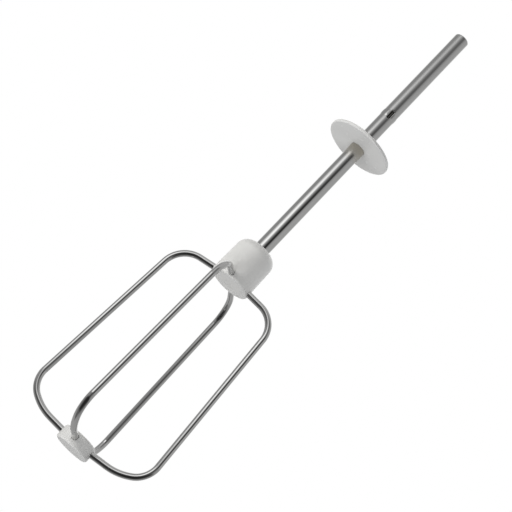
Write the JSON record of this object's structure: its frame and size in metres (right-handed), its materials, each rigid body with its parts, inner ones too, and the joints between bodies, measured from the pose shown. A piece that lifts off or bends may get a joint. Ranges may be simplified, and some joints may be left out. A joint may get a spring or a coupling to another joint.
{
  "type": "hand mixer beater",
  "caption": "Wire beater for a hand mixer: a round steel drive shaft with a splash collar, a moulded hub, crossed wire loops and a tip clip.",
  "frame": {"origin": "centre of the shank's flat end face, the end that goes into the mixer's drive socket", "axes": "+Z along the shaft, out of the shank's end towards the mixer; the lower wire loop lies in the XZ plane and the upper wire loop in the YZ plane"},
  "size_m": [0.0526, 0.0526, 0.2048],
  "materials": {
    "shaft_steel": "polished",
    "wire_steel": "polished",
    "white_plastic": "satin"
  },
  "bodies": {
    "root": {"drive_shaft": "shaft_steel", "splash_collar": "white_plastic", "wire_hub": "white_plastic", "lower_wire_loop": "wire_steel", "upper_wire_loop": "wire_steel", "tip_clip": "white_plastic"}
  },
  "joints": []
}
